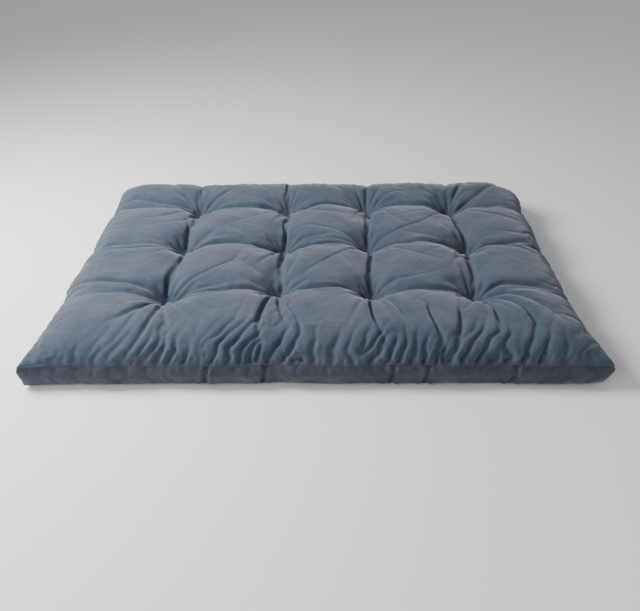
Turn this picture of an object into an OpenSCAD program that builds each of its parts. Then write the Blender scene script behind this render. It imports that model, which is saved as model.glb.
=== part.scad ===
// Tufted futon mattress, lying flat, with its fold line along X.
// The origin is at the middle of the underside. The front edge faces -Y and the crowns face +Z.

/* [Mattress] */
// Length from end to end
mattress_l = 1900; // [1560:10:2300]
// Depth from the front edge to the rear edge
mattress_w = 1370; // [1120:10:1700]
// Height of the crowns between the tufts
crown_h = 172; // [140:2:210]
// Height of the boxing, from the base to the upper seam
boxing_h = 86; // [66:2:106]
// Radius by which the top rounds over from the crowns to the upper seam
shoulder_r = 200; // [160:5:260]
// Radius of the corners in plan
corner_r = 70; // [30:5:120]

/* [Cover] */
// Thickness of the brushed cover with its backing
cover_t = 2; // [1:0.5:4]
// Height of the top panel's upright edge above the seam
seam_lip = 4; // [2:1:10]

/* [Filling] */
// Thickness of the outer batt below the foam
lower_outer_t = 20; // [18:1:26]
// Thickness of the inner batt below the foam
lower_inner_t = 20; // [10:1:26]
// Thickness of the foam core
foam_t = 60; // [40:2:76]
// Thickness of the inner batt above the foam
upper_inner_t = 34; // [16:1:42]

/* [Tufts] */
// Places along X of the four tufts in the front row
front_row_x = [-540, -132, 216, 580];
// Places along Y of the four tufts in the front row
front_row_y = [-322, -280, -298, -304];
// Places along X of the four tufts in the middle row
middle_row_x = [-536, -136, 215, 610];
// Places along Y of the four tufts in the middle row
middle_row_y = [54, 50, 60, 42];
// Places along X of the four tufts in the rear row
rear_row_x = [-526, -131, 222, 588];
// Places along Y of the four tufts in the rear row
rear_row_y = [390, 388, 414, 382];
// Height at which the tie holds the top down
tuft_floor_h = 96; // [80:1:116]
// Radius of the flat spot under the tie's loop
tuft_floor_r = 12; // [9:1:16]
// Radius of the hollow that each tuft draws in the top
hollow_r = 160; // [120:5:165]
// Height of the dimple that each tuft draws in the base
dimple_h = 14; // [12:1:16]
// Radius of the dimple in the base
dimple_r = 60; // [40:5:80]

/* [Ties] */
// Radius of the doubled twine
twine_r = 1.8; // [1.4:0.1:2.4]
// Radius of the loop left on top of each tuft, to the middle of the twine
loop_r = 5; // [3.5:0.5:6.5]
// Radius of the knot under the mattress
knot_r = 4; // [3:0.5:4.5]
// Clearance round the twine where it passes through the layers
twine_clear = 0.2; // [0.1:0.1:0.6]
// Radius of the felt washer under each tuft
washer_r = 13; // [10:1:20]
// Thickness of the felt washer
washer_t = 3; // [2:0.5:4]

/* [Fold] */
// Height of the line that the mattress folds about
fold_h = 86; // [70:1:100]
// Furthest that the rear half folds up
fold_max = 75; // [45:1:90]
// Gap between the two halves at the fold
fold_gap = 0.4; // [0.3:0.1:1]

/* [Hidden] */
$fn = 48;
reach = 400; // how far cutting shapes run past the mattress
hollow_steps = 8; // straight steps in the slope of a hollow
hollow_curve = 1.8; // how sharply a hollow steepens towards its tuft
fold_spare = 1; // degrees by which the valley is wider than the fold needs
edge_spare = 1; // room round a washer in its dimple and at the fold
loop_spare = 1.5; // room between a loop and the folded rear half

shoulder_drop = crown_h - boxing_h - seam_lip;
shoulder_run = sqrt(pow(shoulder_r, 2) - pow(shoulder_r - shoulder_drop, 2));
dimple_floor_r = washer_r + edge_spare;
valley_angle = fold_max / 2 + fold_spare;

// The fold clears the middle row's washers below and its loops above, at a whole millimetre
loop_top = tuft_floor_h + 2 * twine_r;
washer_reach = dimple_floor_r + edge_spare;
loop_reach = loop_r + twine_r + (loop_top - fold_h) * tan(valley_angle) + loop_spare;
fold_y = ceil(max(middle_row_y) + max(washer_reach, loop_reach));

// Heights of the layers away from the tufts
lower_outer_top = cover_t + lower_outer_t;
lower_inner_top = lower_outer_top + lower_inner_t;
foam_top = lower_inner_top + foam_t;
upper_inner_top = foam_top + upper_inner_t;
upper_outer_top = crown_h - cover_t;

// How far the tie squeezes everything above the lowest batt
squeeze = (tuft_floor_h - cover_t - lower_outer_top) / (upper_outer_top - lower_outer_top);

row_names = ["front", "middle", "rear"];
row_x = [front_row_x, middle_row_x, rear_row_x];
row_y = [front_row_y, middle_row_y, rear_row_y];
columns = [0:3];
tufts = [for (row = [0:2]) for (column = columns) [row_x[row][column], row_y[row][column]]];

// The mattress seen from above, drawn in by inset
module plan_outline(inset) {
    r = corner_r - inset;
    l = mattress_l - 2 * inset;
    w = mattress_w - 2 * inset;
    square([l - 2 * r, w], center = true);
    square([l, w - 2 * r], center = true);
    for (x = [-1, 1]) {
        for (y = [-1, 1]) {
            translate([x * (l / 2 - r), y * (w / 2 - r)])
                circle(r);
        }
    }
}

// A flat top with a rounded shoulder at each end
module crowned_section(span, inset) {
    middle = span / 2 - shoulder_run;
    translate([-middle, -reach])
        square([2 * middle, reach + crown_h - inset]);
    for (end = [-1, 1]) {
        translate([end * middle, crown_h - shoulder_r])
            circle(shoulder_r - inset);
    }
}

// The whole mattress without its tufts, drawn in by inset
module envelope(inset) {
    intersection() {
        linear_extrude(height = crown_h + reach)
            plan_outline(inset);
        rotate([90, 0, 90])
            linear_extrude(height = mattress_l + reach, center = true)
                crowned_section(mattress_w, inset);
        rotate([90, 0, 0])
            linear_extrude(height = mattress_w + reach, center = true)
                crowned_section(mattress_l, inset);
    }
}

// Everything on one side of the fold, with the valley's slope drawn in by inset
module fold_side(side, inset) {
    d = side == "seat" ? -1 : 1;
    top = crown_h + reach;
    face = d * fold_gap / 2;
    slope_start = fold_h - inset / sin(valley_angle);
    slope_end = face + d * (top - slope_start) * tan(valley_angle);
    far = d * (mattress_w + reach);
    translate([0, fold_y, 0])
        rotate([90, 0, 90])
            linear_extrude(height = mattress_l + reach, center = true)
                polygon([[face, -reach], [face, slope_start], [slope_end, top], [far, top], [far, -reach]]);
}

// Slope between a flat spot of radius floor_r and the rim
function slope_points(floor_r, rim_r, height) = [
    for (i = [0:hollow_steps])
        let (share = i / hollow_steps)
        [floor_r + (rim_r - floor_r) * share, height * pow(1 - share, hollow_curve)]
];

// Hollows sunk from a level surface, one at each tuft
module hollows(level, depth) {
    for (at = tufts) {
        translate([at[0], at[1], level])
            mirror([0, 0, 1])
                rotate_extrude()
                    polygon(concat(
                        [[0, -reach], [0, depth]],
                        slope_points(tuft_floor_r, hollow_r, depth),
                        [[hollow_r, -reach]]
                    ));
    }
}

// Mounds raised on a level surface, one at each tuft
module mounds(level, height) {
    for (at = tufts) {
        translate([at[0], at[1], level])
            rotate_extrude()
                polygon(concat(
                    [[0, -reach], [0, height]],
                    slope_points(dimple_floor_r, dimple_r, height),
                    [[dimple_r, -reach]]
                ));
    }
}

// The round passages that the twine takes through every layer
module passages() {
    for (at = tufts) {
        translate([at[0], at[1], -reach])
            cylinder(h = 2 * reach, r = twine_r + twine_clear);
    }
}

// All the room up to a level surface
module room_below(level) {
    translate([0, 0, level - reach])
        linear_extrude(height = reach)
            square([mattress_l + reach, mattress_w + reach], center = true);
}

// How deep a layer's surface is drawn down at a tuft
function drawn_down(level) = (level - lower_outer_top) * (1 - squeeze);

// One layer of filling between two surfaces that both dip towards the tufts
module filling(side, bottom, top) {
    difference() {
        intersection() {
            envelope(cover_t);
            fold_side(side, cover_t);
            room_below(top);
        }
        hollows(top, drawn_down(top));
        difference() {
            room_below(bottom);
            if (drawn_down(bottom) > 0) {
                hollows(bottom, drawn_down(bottom));
            }
        }
        passages();
    }
}

module top_panel(side) {
    color("slategray")
        difference() {
            intersection() {
                envelope(0);
                fold_side(side, 0);
            }
            hollows(crown_h, drawn_down(upper_outer_top));
            room_below(boxing_h);
            difference() {
                intersection() {
                    envelope(cover_t);
                    fold_side(side, cover_t);
                }
                hollows(upper_outer_top, drawn_down(upper_outer_top));
            }
            passages();
        }
}

module base_panel(side) {
    color("dimgray")
        difference() {
            intersection() {
                envelope(0);
                fold_side(side, 0);
                union() {
                    room_below(cover_t);
                    intersection() {
                        mounds(cover_t, dimple_h);
                        envelope(cover_t);
                    }
                }
            }
            mounds(0, dimple_h);
            passages();
        }
}

// The upright band round the edge, between the base panel and the upper seam
module boxing_band() {
    translate([0, 0, cover_t])
        linear_extrude(height = boxing_h - cover_t)
            difference() {
                plan_outline(0);
                plan_outline(cover_t);
            }
}

// The long strips run round the corners to where the ends become straight
module long_boxing(d) {
    color("slategray")
        intersection() {
            boxing_band();
            translate([0, d * (mattress_w / 2 - corner_r + reach), boxing_h / 2])
                cube([mattress_l + reach, 2 * reach, boxing_h + reach], center = true);
        }
}

module front_boxing() {
    long_boxing(-1);
}

module rear_boxing() {
    long_boxing(1);
}

module end_boxing(d, side) {
    color("slategray")
        intersection() {
            boxing_band();
            fold_side(side, 0);
            translate([d * mattress_l / 2, 0, boxing_h / 2])
                cube([mattress_l / 2, mattress_w - 2 * corner_r, boxing_h + reach], center = true);
        }
}

module upper_outer_batt(side) {
    color("ivory")
        filling(side, upper_inner_top, upper_outer_top);
}

module upper_inner_batt(side) {
    color("linen")
        filling(side, foam_top, upper_inner_top);
}

module foam_core(side) {
    color("khaki")
        filling(side, lower_inner_top, foam_top);
}

module lower_inner_batt(side) {
    color("linen")
        filling(side, lower_outer_top, lower_inner_top);
}

module lower_outer_batt(side) {
    color("ivory")
        difference() {
            intersection() {
                envelope(cover_t);
                fold_side(side, cover_t);
                room_below(lower_outer_top);
            }
            room_below(cover_t);
            mounds(cover_t, dimple_h);
            passages();
        }
}

// Doubled twine with its loop on top and its knot below
module tuft_tie(at) {
    knot_z = dimple_h - washer_t - knot_r;
    color("darkslategray")
        translate([at[0], at[1], 0]) {
            translate([0, 0, knot_z])
                cylinder(h = tuft_floor_h + twine_r - knot_z, r = twine_r);
            translate([0, 0, knot_z])
                sphere(knot_r);
            translate([loop_r, 0, tuft_floor_h + twine_r])
                rotate_extrude()
                    translate([loop_r, 0])
                        circle(twine_r);
        }
}

module felt_washer(at) {
    color("gray")
        translate([at[0], at[1], dimple_h - washer_t])
            difference() {
                cylinder(h = washer_t, r = washer_r);
                translate([0, 0, -washer_t])
                    cylinder(h = 3 * washer_t, r = twine_r + twine_clear);
            }
}

top_panel("seat");  // top_panel_seat
top_panel("back");  // top_panel_back
front_boxing();
rear_boxing();
end_boxing(-1, "seat");  // left_boxing_seat
end_boxing(-1, "back");  // left_boxing_back
end_boxing(1, "seat");  // right_boxing_seat
end_boxing(1, "back");  // right_boxing_back
base_panel("seat");  // base_panel_seat
base_panel("back");  // base_panel_back
upper_outer_batt("seat");  // upper_outer_batt_seat
upper_outer_batt("back");  // upper_outer_batt_back
upper_inner_batt("seat");  // upper_inner_batt_seat
upper_inner_batt("back");  // upper_inner_batt_back
foam_core("seat");  // foam_core_seat
foam_core("back");  // foam_core_back
lower_inner_batt("seat");  // lower_inner_batt_seat
lower_inner_batt("back");  // lower_inner_batt_back
lower_outer_batt("seat");  // lower_outer_batt_seat
lower_outer_batt("back");  // lower_outer_batt_back
for (row = [0:2]) {
    for (column = columns) {
        at = [row_x[row][column], row_y[row][column]];
        tie_name = str("tuft_tie_", row_names[row], "_", column + 1);
        washer_name = str("felt_washer_", row_names[row], "_", column + 1);
        tuft_tie(at);
        felt_washer(at);
    }
}
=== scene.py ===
import math

import bmesh
import bpy
import numpy as np
from mathutils import Matrix, Vector
from mathutils.bvhtree import BVHTree


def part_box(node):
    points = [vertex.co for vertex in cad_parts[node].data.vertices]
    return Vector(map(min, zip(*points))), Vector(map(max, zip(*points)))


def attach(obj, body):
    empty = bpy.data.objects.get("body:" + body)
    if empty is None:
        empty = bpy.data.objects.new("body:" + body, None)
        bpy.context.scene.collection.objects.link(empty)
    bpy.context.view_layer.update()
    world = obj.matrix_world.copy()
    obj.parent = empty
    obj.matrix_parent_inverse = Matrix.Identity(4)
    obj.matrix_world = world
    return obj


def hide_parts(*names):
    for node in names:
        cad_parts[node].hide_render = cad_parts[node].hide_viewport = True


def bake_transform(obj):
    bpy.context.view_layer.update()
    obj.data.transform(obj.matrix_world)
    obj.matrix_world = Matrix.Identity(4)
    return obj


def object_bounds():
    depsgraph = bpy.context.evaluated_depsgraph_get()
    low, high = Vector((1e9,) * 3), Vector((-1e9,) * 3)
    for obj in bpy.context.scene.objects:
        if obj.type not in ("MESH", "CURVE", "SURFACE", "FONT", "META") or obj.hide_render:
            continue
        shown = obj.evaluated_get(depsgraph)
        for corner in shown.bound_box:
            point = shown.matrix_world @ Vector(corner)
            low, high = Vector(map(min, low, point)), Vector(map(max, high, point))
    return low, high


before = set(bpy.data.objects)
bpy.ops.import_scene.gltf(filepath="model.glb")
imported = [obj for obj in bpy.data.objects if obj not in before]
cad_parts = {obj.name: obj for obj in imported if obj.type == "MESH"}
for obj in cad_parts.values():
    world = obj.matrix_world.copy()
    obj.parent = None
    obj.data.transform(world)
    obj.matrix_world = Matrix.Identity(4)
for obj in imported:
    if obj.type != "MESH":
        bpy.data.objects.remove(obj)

cadLow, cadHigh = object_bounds()

# Places taken from the frame, in metres
halfLength = cadHigh.x
halfDepth = cadHigh.y
crownHeight = cadHigh.z
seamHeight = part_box("front_boxing")[1].z
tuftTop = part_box("tuft_tie_front_1")[1].z
washerLow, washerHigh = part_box("felt_washer_front_1")
rowNames = ("front", "middle", "rear")


def tuftPlace(row, column):
    low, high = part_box("felt_washer_" + row + "_" + str(column))
    return ((low.x + high.x) / 2, (low.y + high.y) / 2)


tuftRows = [[tuftPlace(row, column) for column in range(1, 5)] for row in rowNames]
tuftPlaces = [place for row in tuftRows for place in row]


def smoothStep(t):
    t = np.clip(t, 0.0, 1.0)
    return t * t * (3 - 2 * t)


# Soft uneven waves of about one wavelength, between about -1 and 1
def ripple(points, wavelength, seed, count=14):
    rng = np.random.default_rng(seed)
    total = np.zeros(len(points))
    for _ in range(count):
        angle, phase = rng.uniform(0, 2 * math.pi, 2)
        size = 2 * math.pi / (wavelength * rng.uniform(0.7, 1.5))
        total += np.sin((points[:, 0] * math.cos(angle) + points[:, 1] * math.sin(angle)) * size + phase)
    return total / math.sqrt(count * 2)


# (distance from the line a to b, share of the way along it)
def distanceTo(points, a, b):
    a, b = np.array(a), np.array(b)
    t = np.clip(((points - a) @ (b - a)) / ((b - a) @ (b - a)), 0, 1)
    return np.linalg.norm(points - (a + t[:, None] * (b - a)), axis=1), t


def fromTuft(points):
    return np.min([np.linalg.norm(points - np.array(p), axis=1) for p in tuftPlaces], axis=0)


def readPoints(mesh):
    co = np.zeros(len(mesh.vertices) * 3)
    mesh.vertices.foreach_get("co", co)
    return co.reshape(-1, 3)


def writePoints(mesh, co):
    mesh.vertices.foreach_set("co", co.ravel())
    mesh.update()


def readNormals(mesh):
    normals = np.zeros(len(mesh.vertices) * 3)
    mesh.vertex_normals.foreach_get("vector", normals)
    return normals.reshape(-1, 3)


def linkMesh(name, mesh):
    piece = bpy.data.objects.new(name, mesh)
    bpy.context.scene.collection.objects.link(piece)
    return piece


# Leaves the piece as its modifiers show it, with none left on it
def bakeModifiers(piece):
    graph = bpy.context.evaluated_depsgraph_get()
    mesh = bpy.data.meshes.new_from_object(piece.evaluated_get(graph))
    piece.modifiers.clear()
    old = piece.data
    piece.data = mesh
    bpy.data.meshes.remove(old)


cover = {
    "cell": 0.012,  # size of one square of the net
    "shoulder": 0.200,  # radius by which the top rounds over
    "saddle": (0.026, 0.034),  # depth halfway between two tufts, along a row and down a column
    "valleyWidth": 0.050,
    "tuftWidth": 0.062,
    "loopRoom": 0.006,  # the tufts go this much below the top of the twine
    "wander": (0.16, 0.007),  # wavelength and size of the valleys' wandering
    "join": 5,  # how sharply valleys give way to each other where they meet
    "edgeFade": 0.30,  # how much of a valley is left where it meets the seam
    "slackTop": 0.016,  # starts this much lower, because it swells
    "rearFull": (0.012, 0.009),  # the rear edge is stuffed fuller, outwards and upwards
    "lump": 0.0030,  # small unevenness of the filling
    "pillow": 0.004,  # how unevenly the pillows are filled
    "boxingBulge": 0.010,
    "boxingUneven": 0.0050,
    "underTuck": 0.016,  # how far the boxing slants in towards its foot
    "ear": 0.07,  # how near a front or rear corner the boxing stays flat
    "rim": 0.09,  # how far in the base follows the boxing
    "lift": (0.006, 0.003),  # how far the rim of the base lifts, and how much that varies
    "dimple": (0.014, 0.046),  # flat part and slope around each washer
    "seamSway": 0.005,
    "cornerPull": {(-1, -1): (-0.014, 0.0), (1, -1): (-0.028, 0.006)},  # the front corners stick out
    "cornerRound": {(-1, 1): 0.075, (1, 1): 0.175},  # radius of the rear corners
    "swell": {"frames": 16, "pressure": 2.6, "spare": 0.035, "bending": 0.05, "cap": 0.012},
    "settle": {"frames": 5, "pressure": 6, "spare": 0.02, "bending": 0.02, "cap": 0.005},
    "fill": 0.75,
}
clothStuff = {"quality": 4, "stretch": 15, "shear": 3}

# How deep and wide each kind of crease is
creases = {
    "foldWide": (0.7, 1.3),  # share of a main fold's depth and width in the first net
    "foldFine": (0.6, 0.6),  # the same in the finer one
    "valley": (0.008, 0.009),
    "tuft": {"waves": (4, 9), "reach": (0.06, 0.22), "bulge": 0.0034, "depth": 0.0060, "width": 0.0065},
    "gathers": {"pitch": 0.050, "reach": (0.05, 0.17), "bulge": 0.0068, "depth": 0.0115, "width": 0.0105},
    "tucks": {"pitch": 0.027, "reach": (0.025, 0.075), "bulge": 0.0030, "depth": 0.0050, "width": 0.0070},
    "faint": {"size": 0.34, "depth": 0.0018, "width": 0.0065},
    "boxing": {"pitch": 0.060, "bulge": 0.0022, "depth": 0.0042, "width": 0.0075},
    "pinch": {"bow": 0.006, "depth": 0.013, "width": 0.009},
    "seam": (0.0048, 0.0012),  # depth of the seam, and how much it varies
    "crumple": 0.0006,
    "soften": 0.3,
}

# Folds a person could point at: start, end, sideways bow, depth, half width
bigFolds = [
    ((-0.545, -0.345), (-0.590, -0.655), 0.018, 0.011, 0.012),
    ((-0.530, -0.360), (-0.470, -0.600), -0.012, 0.009, 0.012),
    ((-0.560, -0.335), (-0.720, -0.560), 0.020, 0.008, 0.014),
    ((-0.140, -0.310), (-0.172, -0.640), -0.026, 0.014, 0.011),
    ((-0.125, -0.310), (-0.062, -0.600), -0.022, 0.010, 0.011),
    ((-0.100, -0.420), (-0.040, -0.640), 0.020, 0.010, 0.010),
    ((0.205, -0.330), (0.262, -0.655), -0.030, 0.012, 0.011),
    ((0.225, -0.330), (0.330, -0.590), 0.020, 0.008, 0.011),
    ((0.395, -0.410), (0.445, -0.660), -0.014, 0.011, 0.010),
    ((0.500, -0.440), (0.452, -0.660), 0.014, 0.011, 0.011),
    ((0.590, -0.330), (0.605, -0.640), 0.026, 0.011, 0.011),
    ((0.610, -0.320), (0.735, -0.640), 0.055, 0.012, 0.013),
    ((0.620, -0.310), (0.850, -0.560), 0.050, 0.009, 0.014),
    ((0.610, -0.290), (0.900, -0.330), 0.030, 0.008, 0.015),
    ((0.640, 0.040), (0.900, -0.080), 0.025, 0.009, 0.016),
    ((0.640, 0.050), (0.905, 0.070), -0.020, 0.009, 0.014),
    ((-0.560, 0.050), (-0.900, 0.000), 0.020, 0.008, 0.016),
    ((-0.575, -0.300), (-0.900, -0.260), -0.020, 0.009, 0.015),
    ((0.610, 0.395), (0.800, 0.560), -0.015, 0.010, 0.014),
    ((0.600, 0.410), (0.690, 0.610), 0.012, 0.009, 0.012),
    ((-0.550, 0.410), (-0.880, 0.470), 0.020, 0.012, 0.013),
]
# (place along the front seam, how strongly it is gathered there)
frontGathers = [
    (-0.95, 0.10), (-0.66, 0.25), (-0.50, 0.85), (-0.04, 0.95), (0.08, 0.50),
    (0.20, 1.0), (0.72, 1.1), (0.84, 0.40), (0.95, 0.12),
]
# Places of the pinches along the front boxing
boxingPinches = [-0.343, -0.150, 0.268, 0.381, 0.664]


def tuftDepth():
    return crownHeight - cover["slackTop"] - tuftTop + cover["loopRoom"]


# How the outer tufts' valleys run out to the edges, with depths halfway and at the end
outerValleys = {
    "sides": (0.020, 0.004),
    "drift": 0.02,  # towards the front, on the way to the sides
    "rear": (0.011, 0.0),
    "front": (0.014, 0.0),
    "frontLong": 0.16,
    "fan": 1.04,
}


# (start, end, depth at the start, halfway and at the end) of each valley
def valleyLines():
    s = outerValleys
    full = tuftDepth()
    lines = []
    for row in tuftRows:
        for a, b in zip(row, row[1:]):
            lines.append((a, b, full, cover["saddle"][0], full))
        left, right = row[0], row[-1]
        lines.append((left, (-halfLength, left[1] - s["drift"]), full, *s["sides"]))
        lines.append((right, (halfLength, right[1] - s["drift"]), full, *s["sides"]))
    for nearRow, farRow in zip(tuftRows, tuftRows[1:]):
        for a, b in zip(nearRow, farRow):
            lines.append((a, b, full, cover["saddle"][1], full))
    for x, y in tuftRows[2]:
        lines.append(((x, y), (x * s["fan"], halfDepth), full, *s["rear"]))
    for x, y in tuftRows[0]:
        lines.append(((x, y), (x * s["fan"], y - s["frontLong"]), full, *s["front"]))
    return lines


# A number for an edge or face, from which points it joins
def pointRank(part):
    rank = 0
    for index in sorted(v.index for v in part.verts)[:3]:
        rank = rank * 100000 + index
    return rank


# A closed box of even squares, with its top, sides and bottom as materials 0, 1 and 2
def closedNet(name, size, height, cell):
    cells = [round(v / cell) for v in size]
    rows = max(1, round(height / cell))
    bm = bmesh.new()

    def grid(z):
        made = bmesh.ops.create_grid(bm, x_segments=cells[0], y_segments=cells[1], size=0.5)["verts"]
        bmesh.ops.transform(bm, matrix=Matrix.Diagonal((size[0], size[1], 1, 1)), verts=made)
        bmesh.ops.translate(bm, vec=(0, 0, z), verts=made)
        return made

    grid(height)
    rim = [e for e in bm.edges if e.is_boundary]
    for _ in range(rows):
        made = bmesh.ops.extrude_edge_only(bm, edges=rim)["geom"]
        verts = {g for g in made if isinstance(g, bmesh.types.BMVert)}
        bmesh.ops.translate(bm, vec=(0, 0, -height / rows), verts=list(verts))
        rim = [g for g in made if isinstance(g, bmesh.types.BMEdge) and all(v in verts for v in g.verts)]
        for face in [g for g in made if isinstance(g, bmesh.types.BMFace)]:
            face.material_index = 1
    for face in {f for v in grid(0) for f in v.link_faces}:
        face.material_index = 2
    bmesh.ops.remove_doubles(bm, verts=bm.verts, dist=1e-5)
    bmesh.ops.recalc_face_normals(bm, faces=bm.faces)
    for face in bm.faces:
        face.smooth = True
    # the operators leave edges and faces in a different order each run, and the cloth feels it
    bm.verts.index_update()
    bm.edges.sort(key=pointRank)
    bm.faces.sort(key=pointRank)
    mesh = bpy.data.meshes.new(name)
    bm.to_mesh(mesh)
    bm.free()
    ends = np.zeros(len(mesh.edges) * 2, np.int32)
    mesh.edges.foreach_get("vertices", ends)
    mesh.edges.foreach_set("vertices", np.sort(ends.reshape(-1, 2), axis=1).ravel())
    mesh.update()
    return mesh


def coverNet():
    s = cover
    radius, drop = s["shoulder"], crownHeight - seamHeight
    s["turn"] = math.acos(1 - drop / radius)
    s["run"] = radius * math.sin(s["turn"])
    s["spare"] = radius * s["turn"] - s["run"]  # cloth that the shoulder takes up
    size = (2 * (halfLength + s["spare"]), 2 * (halfDepth + s["spare"]))
    return closedNet("mattressCover", size, seamHeight, s["cell"])


# (place, share of the full height) for cloth that lies along from the middle to the seam
def overShoulder(along, half):
    s = cover
    fromSeam = half + s["spare"] - np.abs(along)
    angle = s["turn"] - fromSeam / s["shoulder"]
    onTurn = angle > 0
    inset = np.where(onTurn, s["run"] - s["shoulder"] * np.sin(np.maximum(angle, 0)), fromSeam - s["spare"])
    drop = (1 - np.cos(np.maximum(angle, 0))) * s["shoulder"] / (crownHeight - seamHeight)
    height = np.where(onTurn, 1 - drop, 1)
    return np.sign(along) * (half - inset), height


# How far the valleys and tufts draw the top down at each point
def valleyDepth(points):
    s = cover
    long, size = s["wander"]
    wobble = np.stack([ripple(points, long, 11), ripple(points, long, 12)], axis=1) * size
    near = fromTuft(points)
    moved = points + wobble * smoothStep(near / 0.05)[:, None]
    total = np.zeros(len(points))
    for a, b, start, middle, end in valleyLines():
        d, t = distanceTo(moved, a, b)
        away = np.abs(2 * t - 1) ** 1.7
        depth = middle + np.where(t < 0.5, start - middle, end - middle) * away
        total += (depth * np.exp(-((d / s["valleyWidth"]) ** 1.05))) ** s["join"]
    total += (tuftDepth() * np.exp(-((near / s["tuftWidth"]) ** 1.15))) ** s["join"]
    return total ** (1 / s["join"])


# Height of all the creases at each point: a groove with a soft ridge on each side
def creaseField(points, strokes):
    total = np.zeros(len(points))
    for start, end, bow, depth, width in strokes:
        a, b = np.array(start), np.array(end)
        length = np.linalg.norm(b - a)
        axis = (b - a) / length
        rel = points - a
        t, side = rel @ axis / length, rel @ np.array([-axis[1], axis[0]])
        near = (t > 0) & (t < 1) & (np.abs(side) < abs(bow) + 5 * width)
        if not near.any():
            continue
        t, side = t[near], side[near]
        spread = width * (0.75 + 0.5 * t)
        d = (side - bow * 4 * t * (1 - t)) / spread
        fade = smoothStep(t / 0.18) * smoothStep((1 - t) / 0.45)
        groove = -np.exp(-d * d) + 0.42 * np.exp(-((np.abs(d) - 1.9) ** 2))
        total[near] += depth * fade * groove
    return total


def scaledFolds(deep, wide):
    return [(a, b, bow, deep * depth, wide * width) for a, b, bow, depth, width in bigFolds]


# A crease from each tuft some way along each of its valleys
def valleyCreases(seed, depth, width):
    rng = np.random.default_rng(seed)
    found = []
    for a, b, full, _, last in valleyLines():
        a, b = np.array(a), np.array(b)
        for start, end, share in ((a, b, full), (b, a, last)):
            reach = start + (end - start) * rng.uniform(0.5, 0.72)
            deep = depth * rng.uniform(0.7, 1.1) * (1 if full == last else 0.5)
            if share > 0.02:
                found.append((start, reach, rng.uniform(-0.012, 0.012), deep, width))
    return found


# (how far the field is from 0, narrow lines along its zeros) at each point
def creaseWeb(field, points, width):
    step = 0.001
    here = field(points)
    slopeX = (field(points + np.array([step, 0])) - here) / step
    slopeY = (field(points + np.array([0, step])) - here) / step
    away = np.abs(here) / np.sqrt(slopeX ** 2 + slopeY ** 2 + 1)
    return np.abs(here), np.exp(-((away / width) ** 2))


# Creases that run out from each tuft, further in some directions than in others
def tuftPuckers(points, seed, waves, reach, bulge, depth, width):
    rng = np.random.default_rng(seed)
    total = np.zeros(len(points))
    for place in tuftPlaces:
        rounds = rng.integers(*waves, size=5)
        phases = rng.uniform(0, 2 * math.pi, (2, 5))
        curls = rng.uniform(-1.3, 1.3, 5)
        close = np.linalg.norm(points - np.array(place), axis=1) < 3 * reach[1]
        local = points[close] - np.array(place)

        def field(p):
            angle, far = np.arctan2(p[:, 1], p[:, 0]), np.log(np.linalg.norm(p, axis=1) / 0.05 + 0.1)
            return sum(np.cos(n * angle + c * far + f) for n, c, f in zip(rounds, curls, phases[0])) / 1.6

        angle, far = np.arctan2(local[:, 1], local[:, 0]), np.linalg.norm(local, axis=1)
        uneven = sum(np.cos((i + 1) * angle + f) for i, f in enumerate(phases[1])) / 5 + 0.5
        limit = reach[0] + (reach[1] - reach[0]) * np.clip(uneven, 0, 1)
        fade = smoothStep((far - 0.014) / 0.022) * np.exp(-((far / limit) ** 2))
        away, lines = creaseWeb(field, local, width)
        total[close] += fade * (bulge * (np.minimum(away, 1.2) - 0.6) - depth * lines)
    return total


# Gathers that rise from the upper seam, strongest along the front
def seamPuckers(flat, seed, pitch, reach, bulge, depth, width):
    s = cover
    rng = np.random.default_rng(seed)
    total = np.zeros(len(flat))
    halfSize = np.array([halfLength, halfDepth]) + s["spare"]
    # front, rear, left and right, with how strongly each is gathered
    for axis, sign, strength in ((0, -1, 1.0), (0, 1, 0.5), (1, -1, 0.35), (1, 1, 0.35)):
        up = halfSize[1 - axis] - sign * flat[:, 1 - axis]
        close = (up >= 0) & (up < 2.6 * reach[1])
        local = np.stack([flat[close, axis], up[close]], axis=1)
        lean = rng.normal(0, 0.42, 12)
        sizes = 2 * math.pi / (2 * pitch * rng.uniform(0.65, 1.5, 12))
        phases = rng.uniform(0, 2 * math.pi, 12)
        warpSeed, reachSeed, gapSeed = rng.integers(0, 9999, 3)

        def field(p):
            u = p[:, 0] + 0.006 * ripple(p, 0.07, warpSeed)
            return sum(np.cos(k * (u + t * p[:, 1]) + f) for k, t, f in zip(sizes, lean, phases)) / 2.4

        alone = np.stack([local[:, 0], np.zeros(len(local))], axis=1)
        tall = np.clip(ripple(alone, 0.14, reachSeed) * 0.5 + 0.5, 0, 1)
        limit = reach[0] + (reach[1] - reach[0]) * tall * (1.3 if sign < 0 and axis == 0 else 1)
        toCorner = halfSize[axis] - np.abs(local[:, 0])
        patch = 0.45 + 0.55 * smoothStep(ripple(alone, 0.45, gapSeed) * 0.7 + 0.6)
        if (axis, sign) == (0, -1):
            patch = np.interp(local[:, 0], *zip(*frontGathers))
        fade = smoothStep(local[:, 1] / 0.016) * np.exp(-((local[:, 1] / limit) ** 2))
        fade *= strength * patch * smoothStep((toCorner - 0.05) / 0.15)
        away, lines = creaseWeb(field, local, width * (1.25 - 0.6 * smoothStep(local[:, 1] / limit)))
        total[close] += fade * (bulge * (np.minimum(away, 1.2) - 0.6) - depth * lines)
    return total


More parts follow.
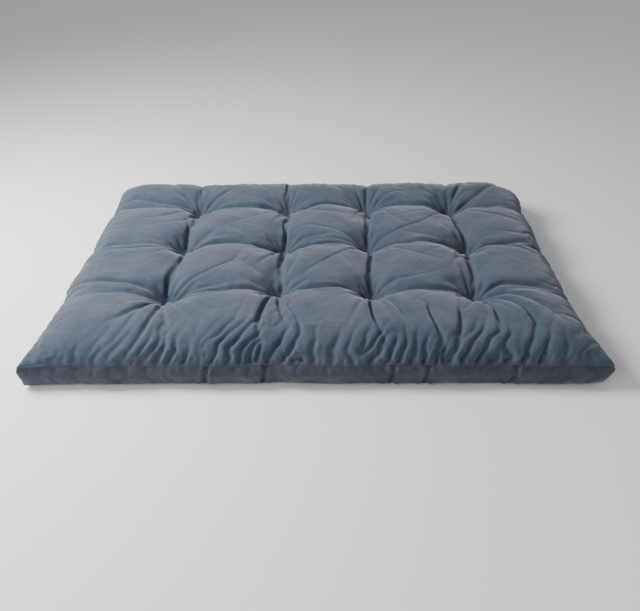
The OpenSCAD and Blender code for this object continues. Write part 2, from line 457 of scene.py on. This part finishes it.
# Small upright creases in the boxing, and the pinches along its front
def boxingPuckers(flat, seed):
    s = creases["boxing"]
    rng = np.random.default_rng(seed)
    total = np.zeros(len(flat))
    high = flat[:, 2] / seamHeight
    for axis, sign in ((0, -1), (0, 1), (1, -1), (1, 1)):
        edge = (halfDepth if axis == 0 else halfLength) + cover["spare"]
        on = (np.abs(flat[:, 1 - axis] - sign * edge) < 1e-4) & (high < 0.99) & (high > 0.01)
        local = np.stack([flat[on, axis], flat[on, 2]], axis=1)
        sizes = math.pi / (s["pitch"] * rng.uniform(0.6, 1.6, 10))
        leans, phases = rng.normal(0, 0.25, 10), rng.uniform(0, 2 * math.pi, 10)

        def field(p):
            waves = zip(sizes, leans, phases)
            return sum(np.cos(k * (p[:, 0] + t * p[:, 1]) + f) for k, t, f in waves) / 2.2

        away, lines = creaseWeb(field, local, s["width"])
        patch = 0.4 + 0.6 * smoothStep(ripple(local, 0.3, seed + sign))
        fade = smoothStep((high[on] - 0.15) / 0.7) * patch
        total[on] += fade * (s["bulge"] * (np.minimum(away, 1.2) - 0.6) - s["depth"] * lines)
        if (axis, sign) == (0, -1):
            shape = creases["pinch"].values()
            pinches = [((at, seamHeight + 0.02), (at - 0.03, -0.04), *shape) for at in boxingPinches]
            total[on] += creaseField(local, pinches)
    return total


outline = {
    "cornerSpan": (0.22, 0.20),  # how far a corner's pull reaches along the length and the depth
    "span": 0.12,  # how far in from the edge the unevenness reaches
    "uneven": 0.003,
    "inward": 0.002,
    "tuck": 0.006,  # drawn in beside each outer tuft
    "tuckWide": (0.07, 0.08),  # at the ends, and at the front and rear
    "rearTuck": 0.3,
}


# Corners drawn in and the edges' own unevenness, for all of the cover
def planShift(x, y):
    s, edge = cover, outline
    spanX, spanY = edge["cornerSpan"]
    wideX, wideY = edge["tuckWide"]
    shiftX, shiftY = np.zeros(len(x)), np.zeros(len(x))
    for (cx, cy), pull in s["cornerPull"].items():
        nearX = smoothStep((cx * x - (halfLength - spanX)) / spanX)
        nearY = smoothStep((cy * y - (halfDepth - spanY)) / spanY)
        shiftX -= cx * pull[0] * nearX * nearY ** 1.5
        shiftY -= cy * pull[1] * nearY * nearX ** 1.5
    for (cx, cy), radius in s["cornerRound"].items():
        u, v = np.maximum(cx * x - halfLength + radius, 0), np.maximum(cy * y - halfDepth + radius, 0)
        shrink = np.where((u > 0) & (v > 0), np.maximum(u, v) / np.maximum(np.hypot(u, v), 1e-9) - 1, 0)
        shiftX += cx * u * shrink
        shiftY += cy * v * shrink
    points = np.stack([x, y], axis=1)
    uneven = edge["uneven"] * ripple(points, 0.35, 21) - edge["inward"]
    edgeX = smoothStep((np.abs(x) - (halfLength - edge["span"])) / edge["span"])
    edgeY = smoothStep((np.abs(y) - (halfDepth - edge["span"])) / edge["span"])
    tuck = np.zeros(len(x))
    for row in tuftRows:
        left = np.exp(-(((y - row[0][1]) / wideX) ** 2))
        right = np.exp(-(((y - row[3][1]) / wideX) ** 2))
        tuck += left * (x < 0) + right * (x > 0)
    shiftX += np.sign(x) * edgeX * (uneven - edge["tuck"] * tuck)
    tuck = np.zeros(len(x))
    for column in range(4):
        tuck += np.exp(-(((x - tuftRows[0][column][0]) / wideY) ** 2)) * (y < 0)
        tuck += edge["rearTuck"] * np.exp(-(((x - tuftRows[2][column][0]) / wideY) ** 2)) * (y > 0)
    shiftY += np.sign(y) * edgeY * (uneven - edge["tuck"] * tuck + s["rearFull"][0] * (y > 0))
    return shiftX, shiftY


# Shapes the net into the tufted mattress, and returns which points are what
def sculptCover(mesh):
    s = cover
    net = readPoints(mesh)
    isTop = net[:, 2] > seamHeight - 1e-4
    isBase = net[:, 2] < 1e-4
    x, shareX = overShoulder(net[:, 0], halfLength)
    y, shareY = overShoulder(net[:, 1], halfDepth)
    atEdge = np.maximum(np.abs(net[:, 0]) / net[:, 0].max(), np.abs(net[:, 1]) / net[:, 1].max()) > 1 - 1e-5
    points = np.stack([x, y], axis=1)
    z = net[:, 2].copy()

    # the top: crowned, then drawn down into valleys and tufts
    share = shareX * shareY
    crown = seamHeight + (crownHeight - s["slackTop"] - seamHeight) * share
    uneven = s["lump"] * ripple(points, 0.13, 31) + s["pillow"] * ripple(points, 0.55, 32)
    crown += uneven * smoothStep(share)
    atRear = np.exp(-(((points[:, 1] - halfDepth + 0.13) / 0.08) ** 2))
    crown += s["rearFull"][1] * atRear * smoothStep(share * 3)
    drawn = valleyDepth(points) * (s["edgeFade"] + (1 - s["edgeFade"]) * smoothStep(share * 1.2))
    z = np.where(isTop & ~atEdge, crown - drawn * smoothStep(share * 2.5), z)

    # the boxing bulges and tucks under, and the base follows it in
    up = np.clip(net[:, 2] / seamHeight, 0, 1)
    toCorner = np.hypot(halfLength - np.abs(points[:, 0]), halfDepth - np.abs(points[:, 1]))
    ear = np.exp(-((toCorner / s["ear"]) ** 2))
    tuck = s["underTuck"] * (1 - up) ** (2.0 - 0.9 * ear) * (1 + 0.4 * ear * np.sign(x))
    bulge = s["boxingBulge"] + s["boxingUneven"] * ripple(points, 0.10, 42)
    out = bulge * np.sin(math.pi * up) * (1 - ear)
    rimX = smoothStep((np.abs(points[:, 0]) - (halfLength - s["rim"])) / s["rim"])
    rimY = smoothStep((np.abs(points[:, 1]) - (halfDepth - s["rim"])) / s["rim"])
    side = ~(isTop & ~atEdge)
    onX = np.abs(net[:, 0]) > net[:, 0].max() - 1e-4
    onY = np.abs(net[:, 1]) > net[:, 1].max() - 1e-4
    x = x + np.where(side, np.sign(x) * (onX * out - rimX * tuck), 0)
    y = y + np.where(side, np.sign(y) * (onY * out - rimY * tuck), 0)
    rim = 1 - (1 - rimX) * (1 - rimY)
    lift = (s["lift"][0] + s["lift"][1] * ripple(points, 0.3, 41)) * rim
    near = fromTuft(points)
    flatPart, slope = s["dimple"]
    dimple = washerHigh.z * np.clip(1 - (near - flatPart) / slope, 0, 1) ** 1.8
    z = np.where(isBase, np.maximum(lift + dimple, 0), z)

    z = np.where(isTop & atEdge, z + s["seamSway"] * ripple(points, 0.30, 51), z)

    moveX, moveY = planShift(x, y)
    writePoints(mesh, np.stack([x + moveX, y + moveY, z], axis=1))

    # the wide part of the main folds, along the cloth's own normal
    co, normals = readPoints(mesh), readNormals(mesh)
    height = creaseField(points, scaledFolds(*creases["foldWide"]))
    free = isTop & ~atEdge
    co[free] += normals[free] * height[free, None]
    writePoints(mesh, co)
    flat = mesh.attributes.new("flat", "FLOAT_VECTOR", "POINT")
    flat.data.foreach_set("vector", net.astype(np.float32).ravel())
    return {"top": isTop, "base": isBase, "edge": atEdge, "points": points, "near": near}


# Lets the cloth swell and wrinkle where it isn't held, caps the movement and keeps the result
def runCloth(piece, held, push, settings):
    start = readPoints(piece.data)
    for name, weights in (("held", held), ("push", push)):
        group = piece.vertex_groups.new(name=name)
        levels = weights.round(1)
        for level in np.unique(levels[levels > 0]):
            group.add(np.flatnonzero(levels == level).tolist(), float(level), "REPLACE")
    cloth = piece.modifiers.new("swell", "CLOTH")
    c = cloth.settings
    c.quality = clothStuff["quality"]
    c.tension_stiffness = c.compression_stiffness = clothStuff["stretch"]
    c.shear_stiffness = clothStuff["shear"]
    c.bending_stiffness = settings["bending"]
    c.use_pressure = True
    c.uniform_pressure_force = settings["pressure"]
    c.vertex_group_mass = "held"
    c.vertex_group_pressure = "push"
    c.shrink_min = -settings["spare"]
    c.effector_weights.gravity = 0
    cloth.collision_settings.use_collision = False
    cloth.point_cache.frame_end = settings["frames"]
    for step in range(1, settings["frames"] + 1):
        bpy.context.scene.frame_set(step)
    bakeModifiers(piece)
    bpy.context.scene.frame_set(1)
    move = readPoints(piece.data) - start
    far = np.linalg.norm(move, axis=1)
    move *= (np.minimum(far, settings["cap"]) / np.maximum(far, 1e-9))[:, None]
    writePoints(piece.data, start + move)
    piece.vertex_groups.remove(piece.vertex_groups["held"])
    piece.vertex_groups.remove(piece.vertex_groups["push"])


# The whole cover swells over its filling, between the tufts that hold it down
def swellCover(piece, known):
    held = np.where((known["base"] & ~known["edge"]) | (known["top"] & (known["near"] < 0.016)), 1.0, 0.0)
    held[known["base"] & known["edge"]] = 0.8
    between = [line for line in valleyLines() if line[2] == line[4]]
    valleys = np.min([distanceTo(known["points"], a, b)[0] for a, b, *_ in between], axis=0)
    push = np.where(known["top"], 0.15 + 0.85 * smoothStep(valleys / 0.08), 0.8)
    runCloth(piece, held, push, cover["swell"])


# The creased cloth tightens between its creases
def settleCover(piece):
    co = readPoints(piece.data)
    top, seam = groupWeights(piece, "top"), groupWeights(piece, "seam")
    near = fromTuft(co[:, :2])
    held = ((top < 0.5) & (co[:, 2] < 0.03)) | (near < 0.02) | (seam > 0.6)
    runCloth(piece, held.astype(float), np.ones(len(co)), cover["settle"])


def makeCover():
    mesh = coverNet()
    piece = linkMesh("mattressCover", mesh)
    known = sculptCover(mesh)
    swellCover(piece, known)
    print("cover swollen over its filling")
    seam = piece.vertex_groups.new(name="seam")
    seam.add(np.flatnonzero(known["top"] & known["edge"]).tolist(), 1.0, "REPLACE")
    seam.add(np.flatnonzero(known["base"] & known["edge"]).tolist(), 1.0, "REPLACE")
    top = piece.vertex_groups.new(name="top")
    top.add(np.flatnonzero(known["top"] & ~known["edge"]).tolist(), 1.0, "REPLACE")
    finer = piece.modifiers.new("finer", "SUBSURF")
    finer.levels = finer.render_levels = 1
    bakeModifiers(piece)
    fineCreases(piece)
    settleCover(piece)
    print("cover creased and settled")
    return piece


def groupWeights(piece, name):
    index = piece.vertex_groups[name].index
    weights = np.zeros(len(piece.data.vertices))
    for vertex in piece.data.vertices:
        for g in vertex.groups:
            if g.group == index:
                weights[vertex.index] = g.weight
    return weights


# The narrow creases, the gathers and the sewn seams, which are finer than the first net
def fineCreases(piece):
    co, normals = readPoints(piece.data), readNormals(piece.data)
    flat = np.zeros(len(co) * 3)
    piece.data.attributes["flat"].data.foreach_get("vector", flat)
    flat = flat.reshape(-1, 3)
    points = co[:, :2]
    seam, top = groupWeights(piece, "seam"), groupWeights(piece, "top")
    s = creases
    height = creaseField(points, scaledFolds(*s["foldFine"]) + valleyCreases(63, *s["valley"]))
    height += tuftPuckers(points, 61, **s["tuft"])
    height += seamPuckers(flat[:, :2], 62, **s["gathers"])
    height += seamPuckers(flat[:, :2], 66, **s["tucks"])
    faint = s["faint"]
    lines = creaseWeb(lambda p: ripple(p, faint["size"], 64), points, faint["width"])[1]
    height -= faint["depth"] * lines * smoothStep(ripple(points, 0.30, 65) + 0.2)
    height += s["crumple"] * ripple(points, 0.05, 73)
    height *= smoothStep(top)
    height += boxingPuckers(flat, 67)
    height -= (s["seam"][0] + s["seam"][1] * ripple(points, 0.016, 68)) * smoothStep(seam)
    co += normals * height[:, None]
    co[:, 2] = np.maximum(co[:, 2], 0)
    writePoints(piece.data, co)
    bm = bmesh.new()
    bm.from_mesh(piece.data)
    bmesh.ops.smooth_vert(bm, verts=bm.verts, factor=s["soften"],
                          use_axis_x=True, use_axis_y=True, use_axis_z=True)
    bm.to_mesh(piece.data)
    bm.free()


def newMaterial(name):
    material = bpy.data.materials.new(name)
    material.use_nodes = True
    return material, material.node_tree.nodes, material.node_tree.links


def objectCoords(nodes):
    return nodes.new("ShaderNodeTexCoord").outputs["Object"]


def noiseNode(nodes, links, coords, scale, detail, rough):
    node = nodes.new("ShaderNodeTexNoise")
    node.inputs["Scale"].default_value = scale
    node.inputs["Detail"].default_value = detail
    node.inputs["Roughness"].default_value = rough
    links.new(coords, node.inputs["Vector"])
    return node.outputs["Fac"]


def rampNode(nodes, links, value, stops):
    node = nodes.new("ShaderNodeValToRGB")
    ramp = node.color_ramp
    while len(ramp.elements) < len(stops):
        ramp.elements.new(0.5)
    for element, (place, colour) in zip(ramp.elements, stops):
        element.position = place
        element.color = (*colour, 1)
    links.new(value, node.inputs["Fac"])
    return node.outputs["Color"]


def bumpNode(nodes, links, height, distance, strength, before=None):
    node = nodes.new("ShaderNodeBump")
    node.inputs["Distance"].default_value = distance
    node.inputs["Strength"].default_value = strength
    links.new(height, node.inputs["Height"])
    if before is not None:
        links.new(before, node.inputs["Normal"])
    return node.outputs["Normal"]


# Noise scale, detail and roughness of each part of the cloth's look
nap = {
    "patches": (5.5, 5.0, 0.62),
    "strokes": (42, 5.0, 0.68),
    "flecks": (520, 2.0, 0.7),
    "crinkle": (34, 5.0, 0.60),
    "crinkleHeight": 0.0030,
    "pile": (620, 3.0, 0.65),
    "pileHeight": 0.0007,
    "roughness": 0.84,
    "shine": 0.22,
    "sheenRoughness": 0.5,
    "sheenTint": (0.88, 0.82, 0.94),
}


# Short-napped cloth: patches where the nap lies differently, mottling and a fine pile
def brushedCloth(name, dark, mid, light, sheen):
    material, nodes, links = newMaterial(name)
    shader = nodes["Principled BSDF"]
    coords = objectCoords(nodes)
    patches = noiseNode(nodes, links, coords, *nap["patches"])
    colour = rampNode(nodes, links, patches, [(0.30, dark), (0.50, mid), (0.72, light)])
    strokes = noiseNode(nodes, links, coords, *nap["strokes"])
    flecks = noiseNode(nodes, links, coords, *nap["flecks"])
    for value, spread, share in ((strokes, 0.17, 0.30), (flecks, 0.22, 0.30)):
        mix = nodes.new("ShaderNodeMix")
        mix.data_type = "RGBA"
        mix.blend_type = "OVERLAY"
        mix.inputs["Factor"].default_value = share
        links.new(colour, mix.inputs["A"])
        tones = [(0.3, [0.5 - spread] * 3), (0.7, [0.5 + spread] * 3)]
        links.new(rampNode(nodes, links, value, tones), mix.inputs["B"])
        colour = mix.outputs["Result"]
    links.new(colour, shader.inputs["Base Color"])
    shader.inputs["Roughness"].default_value = nap["roughness"]
    shader.inputs["Specular IOR Level"].default_value = nap["shine"]
    shader.inputs["Sheen Weight"].default_value = sheen
    shader.inputs["Sheen Roughness"].default_value = nap["sheenRoughness"]
    shader.inputs["Sheen Tint"].default_value = (*nap["sheenTint"], 1)
    crinkle = noiseNode(nodes, links, coords, *nap["crinkle"])
    crinkled = bumpNode(nodes, links, crinkle, nap["crinkleHeight"], 0.45)
    pile = noiseNode(nodes, links, coords, *nap["pile"])
    links.new(bumpNode(nodes, links, pile, nap["pileHeight"], 0.9, crinkled), shader.inputs["Normal"])
    return material


def plainStuff(name, dark, light, scale, roughness, bump):
    material, nodes, links = newMaterial(name)
    shader = nodes["Principled BSDF"]
    coords = objectCoords(nodes)
    value = noiseNode(nodes, links, coords, scale, 4.0, 0.6)
    links.new(rampNode(nodes, links, value, [(0.3, dark), (0.7, light)]), shader.inputs["Base Color"])
    shader.inputs["Roughness"].default_value = roughness
    links.new(bumpNode(nodes, links, value, bump, 0.8), shader.inputs["Normal"])
    return material


# Dark, middle and light colour, and how much sheen
coverCloth = brushedCloth("coverCloth",
                          (0.027, 0.051, 0.073), (0.039, 0.060, 0.084), (0.061, 0.071, 0.096), 0.36)
# The boxing's colours are the top's cloth made darker and greyer: painted shade on the upright sides, which
# turn away from the light above
shadedBoxingCloth = brushedCloth("shadedBoxingCloth",
                           (0.032, 0.037, 0.052), (0.041, 0.045, 0.062), (0.052, 0.055, 0.072), 0.24)
baseCloth = brushedCloth("baseCloth",
                         (0.040, 0.055, 0.076), (0.052, 0.069, 0.092), (0.066, 0.080, 0.105), 0.30)
twineStuff = plainStuff("twineStuff", (0.030, 0.045, 0.065), (0.060, 0.080, 0.105), 700, 0.7, 0.0005)
feltStuff = plainStuff("feltStuff", (0.16, 0.18, 0.21), (0.26, 0.28, 0.31), 400, 0.95, 0.0008)
foamStuff = plainStuff("foamStuff", (0.70, 0.60, 0.36), (0.88, 0.80, 0.56), 260, 0.9, 0.0010)
battStuff = plainStuff("battStuff", (0.78, 0.74, 0.66), (0.92, 0.90, 0.85), 90, 0.95, 0.0030)
print("materials made")

coverPiece = makeCover()
for material in (coverCloth, shadedBoxingCloth, baseCloth):
    coverPiece.data.materials.append(material)
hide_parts("top_panel_seat", "top_panel_back", "base_panel_seat", "base_panel_back",
            "front_boxing", "rear_boxing", "left_boxing_seat", "left_boxing_back",
            "right_boxing_seat", "right_boxing_back")
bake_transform(coverPiece)
print("cover made", len(coverPiece.data.polygons), "faces")

# The filling, layer by layer: (piece, share of the thickness from the base, CAD node, material, fill)
layers = [
    ("lowerOuterBatt", 0.012, 0.125, "lower_outer_batt", battStuff, 0.8),
    ("lowerInnerBatt", 0.125, 0.240, "lower_inner_batt", battStuff, 0.8),
    ("foamCore", 0.240, 0.595, "foam_core", foamStuff, 1.0),
    ("upperInnerBatt", 0.595, 0.795, "upper_inner_batt", battStuff, 0.8),
    ("upperOuterBatt", 0.795, 0.985, "upper_outer_batt", battStuff, 0.7),
]
filling = {"cell": 0.020, "inset": 0.036, "clear": 0.006, "gap": 0.0003}


# The cover's underside and top at each point, kept clear of its creases
def insideHeights(tree, points):
    s = filling
    low, high = np.full(len(points), -1.0), np.full(len(points), 1.0)
    for dx in (-0.6, -0.3, 0, 0.3, 0.6):
        for dy in (-0.6, -0.3, 0, 0.3, 0.6):
            for i, (x, y) in enumerate(points + np.array([dx, dy]) * s["cell"]):
                top = tree.ray_cast(Vector((x, y, 1)), Vector((0, 0, -1)))[0]
                base = tree.ray_cast(Vector((x, y, -1)), Vector((0, 0, 1)))[0]
                if top is not None:
                    high[i] = min(high[i], top.z)
                    low[i] = max(low[i], base.z)
    return low + s["clear"], np.maximum(high - s["clear"], low + 0.02)


def makeFilling(coverPiece):
    s = filling
    tree = BVHTree.FromObject(coverPiece, bpy.context.evaluated_depsgraph_get())
    size = (2 * (halfLength - s["inset"]), 2 * (halfDepth - s["inset"]))
    heights = {}
    for name, start, end, node, material, fill in layers:
        thick = (end - start) * crownHeight
        mesh = closedNet(name, size, thick, s["cell"])
        co = readPoints(mesh)
        moveX, moveY = planShift(co[:, 0], co[:, 1])
        share = start + (end - start) * co[:, 2] / thick
        co[:, 0] += moveX
        co[:, 1] += moveY
        keys = [tuple(key) for key in co[:, :2].round(5)]
        fresh = sorted(set(keys) - set(heights))
        if fresh:
            low, high = insideHeights(tree, np.array(fresh))
            heights.update(zip(fresh, zip(low, high)))
        low, high = np.array([heights[key] for key in keys]).T
        gap = np.where(share > (start + end) / 2, -s["gap"], s["gap"])
        co[:, 2] = low + (high - low) * share + gap
        writePoints(mesh, co)
        piece = linkMesh(name, mesh)
        mesh.materials.append(material)
        for polygon in mesh.polygons:
            polygon.material_index = 0
        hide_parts(node + "_seat", node + "_back")
        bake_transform(piece)
    print("filling made")
    return tree


coverTree = makeFilling(coverPiece)


# The ties and their washers
tie = {
    "strand": 0.0010,  # radius of one of the two strands
    "sides": 7,
    "pitch": 0.009,  # length of one full twist
    "loopLong": 0.0170,
    "loopWide": 0.0046,
    "loopTilt": 24,  # degrees above the cloth
    "footLift": 0.0022,  # where the loop starts above the cloth
    "upSteps": 12,
    "loopSteps": 36,
    "wrap": {"steps": 31, "perTurn": 12, "wide": 2.6, "lift": 0.0005, "rise": 0.0018},
    "knot": 0.00095,
    "knotSteps": 48,
    "knotDrop": 0.004,  # how far the knot lies below the washer
}
washer = {"hole": 0.0021, "edge": 0.0009, "round": 40, "bands": 4}


# Draws a round strand along the path
def sweepCord(bm, path, radius):
    ways = [(b - a).normalized() for a, b in zip(path, path[1:])]
    made = bmesh.ops.create_circle(bm, cap_ends=True, segments=tie["sides"], radius=radius)["verts"]
    first = Matrix.Translation(path[0]) @ ways[0].to_track_quat("Z", "Y").to_matrix().to_4x4()
    bmesh.ops.transform(bm, matrix=first, verts=made)
    ring = [e for e in bm.edges if e.verts[0] in made and e.verts[1] in made]
    for i in range(1, len(path)):
        made = bmesh.ops.extrude_edge_only(bm, edges=ring)["geom"]
        verts = {g for g in made if isinstance(g, bmesh.types.BMVert)}
        ring = [g for g in made if isinstance(g, bmesh.types.BMEdge) and all(v in verts for v in g.verts)]
        verts = list(verts)
        bmesh.ops.translate(bm, vec=path[i] - path[i - 1], verts=verts)
        turn = ways[i - 1].rotation_difference(ways[min(i, len(ways) - 1)]).to_matrix()
        bmesh.ops.rotate(bm, cent=path[i], matrix=turn, verts=verts)
    bmesh.ops.holes_fill(bm, edges=ring)


# A strand's own way round the path it follows
def twist(path, offset, pitch, turn):
    out, along = [], 0.0
    for i, point in enumerate(path):
        way = (path[min(i + 1, len(path) - 1)] - path[max(i - 1, 0)]).normalized()
        side = way.cross(Vector((0.31, 0.17, 0.93))).normalized()
        if i:
            along += (point - path[i - 1]).length
        angle = turn + 2 * math.pi * along / pitch
        out.append(point + offset * (side * math.cos(angle) + way.cross(side) * math.sin(angle)))
    return out


# Up through the filling, round the loop that lies on the cloth, and back down
def tiePath(x, y, floor, base, yaw):
    s = tie
    tilt = math.radians(s["loopTilt"])
    out = Vector((math.cos(yaw) * math.cos(tilt), math.sin(yaw) * math.cos(tilt), math.sin(tilt)))
    across = Vector((-math.sin(yaw), math.cos(yaw), 0))
    foot = Vector((x, y, floor + s["footLift"]))
    path = [Vector((x, y, base + (foot.z - base) * i / s["upSteps"])) for i in range(s["upSteps"])]
    for i in range(s["loopSteps"] + 1):
        t = 2 * math.pi * i / s["loopSteps"]
        swell = math.sin(t / 2) ** 2
        aside = s["loopWide"] * math.sin(t) * swell ** 0.35
        path.append(foot + out * s["loopLong"] * swell + across * aside)
    return path


def makeTie(row, column, body):
    s = tie
    x, y = tuftRows[rowNames.index(row)][column - 1]
    rng = np.random.default_rng(80 + 4 * rowNames.index(row) + column)
    floor = coverTree.ray_cast(Vector((x, y, 1)), Vector((0, 0, -1)))[0].z
    knotHeight = washerLow.z - s["knotDrop"]
    path = tiePath(x, y, floor, knotHeight, rng.uniform(0, 2 * math.pi))
    bm = bmesh.new()
    for turn in (0, math.pi):
        sweepCord(bm, twist(path, s["strand"] * 0.9, s["pitch"], turn), s["strand"])
    wrap, turns = s["wrap"], []
    for i in range(wrap["steps"]):
        t = 2 * math.pi * i / wrap["perTurn"]
        place = Vector((math.cos(t), math.sin(t), 0)) * s["strand"] * wrap["wide"]
        height = floor + wrap["lift"] + wrap["rise"] * i / wrap["perTurn"]
        turns.append(Vector((x, y, height)) + place)
    sweepCord(bm, turns, s["strand"])
    knot = []
    for i in range(s["knotSteps"]):
        t = 2 * math.pi * i / s["knotSteps"]
        across, along = math.sin(t) + 2 * math.sin(2 * t), math.cos(t) - 2 * math.cos(2 * t)
        shape = Vector((across, along, -math.sin(3 * t) * 1.4))
        knot.append(Vector((x, y, knotHeight)) + shape * s["knot"])
    sweepCord(bm, knot + [knot[0]], s["strand"])
    bmesh.ops.recalc_face_normals(bm, faces=bm.faces)
    for face in bm.faces:
        face.smooth = True
    mesh = bpy.data.meshes.new("tie")
    bm.to_mesh(mesh)
    bm.free()
    mesh.materials.append(twineStuff)
    piece = linkMesh("tuftTie." + row + "." + str(column), mesh)
    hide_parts("tuft_tie_" + row + "_" + str(column))
    followRow(piece, body)


def makeWasher(row, column, body):
    s = washer
    node = "felt_washer_" + row + "_" + str(column)
    low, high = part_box(node)
    radius, thick = (high.x - low.x) / 2, high.z - low.z
    bm = bmesh.new()
    bmesh.ops.create_circle(bm, segments=s["round"], radius=s["hole"])
    ring = bm.edges[:]
    reach = s["hole"]
    for i in range(s["bands"]):
        made = bmesh.ops.extrude_edge_only(bm, edges=ring)["geom"]
        verts = {g for g in made if isinstance(g, bmesh.types.BMVert)}
        ring = [g for g in made if isinstance(g, bmesh.types.BMEdge) and all(v in verts for v in g.verts)]
        wider = s["hole"] + (radius - s["hole"]) * (i + 1) / s["bands"]
        bmesh.ops.scale(bm, vec=(wider / reach, wider / reach, 1), verts=list(verts))
        reach = wider
    made = bmesh.ops.extrude_face_region(bm, geom=bm.faces[:])["geom"]
    verts = [g for g in made if isinstance(g, bmesh.types.BMVert)]
    bmesh.ops.translate(bm, vec=(0, 0, thick), verts=verts)
    bmesh.ops.recalc_face_normals(bm, faces=bm.faces)
    edges = [e for e in bm.edges if len(e.link_faces) == 2 and e.calc_face_angle() > 1]
    bmesh.ops.bevel(bm, geom=edges, offset=s["edge"], offset_type="OFFSET", segments=3, profile=0.5,
                    affect="EDGES", material=-1)
    bmesh.ops.translate(bm, vec=((low.x + high.x) / 2, (low.y + high.y) / 2, low.z), verts=bm.verts)
    for face in bm.faces:
        face.smooth = True
    mesh = bpy.data.meshes.new("washer")
    bm.to_mesh(mesh)
    bm.free()
    mesh.materials.append(feltStuff)
    piece = linkMesh("feltWasher." + row + "." + str(column), mesh)
    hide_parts(node)
    followRow(piece, body)


def followRow(piece, body):
    if body is None:  # the middle row lies where the cloth bends
        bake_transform(piece)
    else:
        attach(piece, body)


for rowName, bodyName in zip(rowNames, ("seat_half", None, "back_half")):
    for columnNumber in range(1, 5):
        makeTie(rowName, columnNumber, bodyName)
        makeWasher(rowName, columnNumber, bodyName)
print("ties and washers made")

stage = {
    "floorSize": 40,
    "floorTone": 0.90,
    "floorRoughness": 0.9,
    "air": (0.95, 0.97, 1.0),
    "airLight": 0.42,
}
# Place, aim, size and power
lights = {
    "window": ((-2.2, 0.0, 2.1), (0, 0, 0), 1.5, 158),
    "fill": ((-1.8, -3.0, 1.9), (0, 0, 0.1), 2.2, 54),
}


def makeStage():
    bpy.ops.mesh.primitive_plane_add(size=stage["floorSize"])
    floor = bpy.context.object
    floor.name = "paleFloor"
    material = newMaterial("paleFloor")[0]
    shader = material.node_tree.nodes["Principled BSDF"]
    shader.inputs["Base Color"].default_value = (*[stage["floorTone"]] * 3, 1)
    shader.inputs["Roughness"].default_value = stage["floorRoughness"]
    floor.data.materials.append(material)


def areaLight(name, place, aim, size, power):
    data = bpy.data.lights.new(name, "AREA")
    data.shape = "DISK"
    data.size, data.energy = size, power
    lamp = bpy.data.objects.new(name, data)
    bpy.context.scene.collection.objects.link(lamp)
    lamp.location = place
    lamp.rotation_euler = (Vector(aim) - Vector(place)).to_track_quat("-Z", "Y").to_euler()


def makeLights():
    for name, settings in lights.items():
        areaLight(name, *settings)
    world = bpy.data.worlds.new("room")
    bpy.context.scene.world = world
    world.use_nodes = True
    background = world.node_tree.nodes["Background"]
    background.inputs["Color"].default_value = (*stage["air"], 1)
    background.inputs["Strength"].default_value = stage["airLight"]


def makeCamera():
    s = {"place": (0.0588, -2.4195, 1.4912), "lens": 38.8, "down": 33.7, "left": 1.03, "roll": -0.7}
    data = bpy.data.cameras.new("camera")
    data.lens = s["lens"]
    camera = bpy.data.objects.new("camera", data)
    bpy.context.scene.collection.objects.link(camera)
    turn = Matrix.Rotation(math.radians(s["left"]), 4, "Z")
    turn @= Matrix.Rotation(math.radians(90 - s["down"]), 4, "X")
    turn @= Matrix.Rotation(math.radians(s["roll"]), 4, "Z")
    camera.matrix_world = Matrix.Translation(s["place"]) @ turn
    bpy.context.scene.camera = camera


makeStage()
makeLights()
makeCamera()
print("floor, lights and camera made")
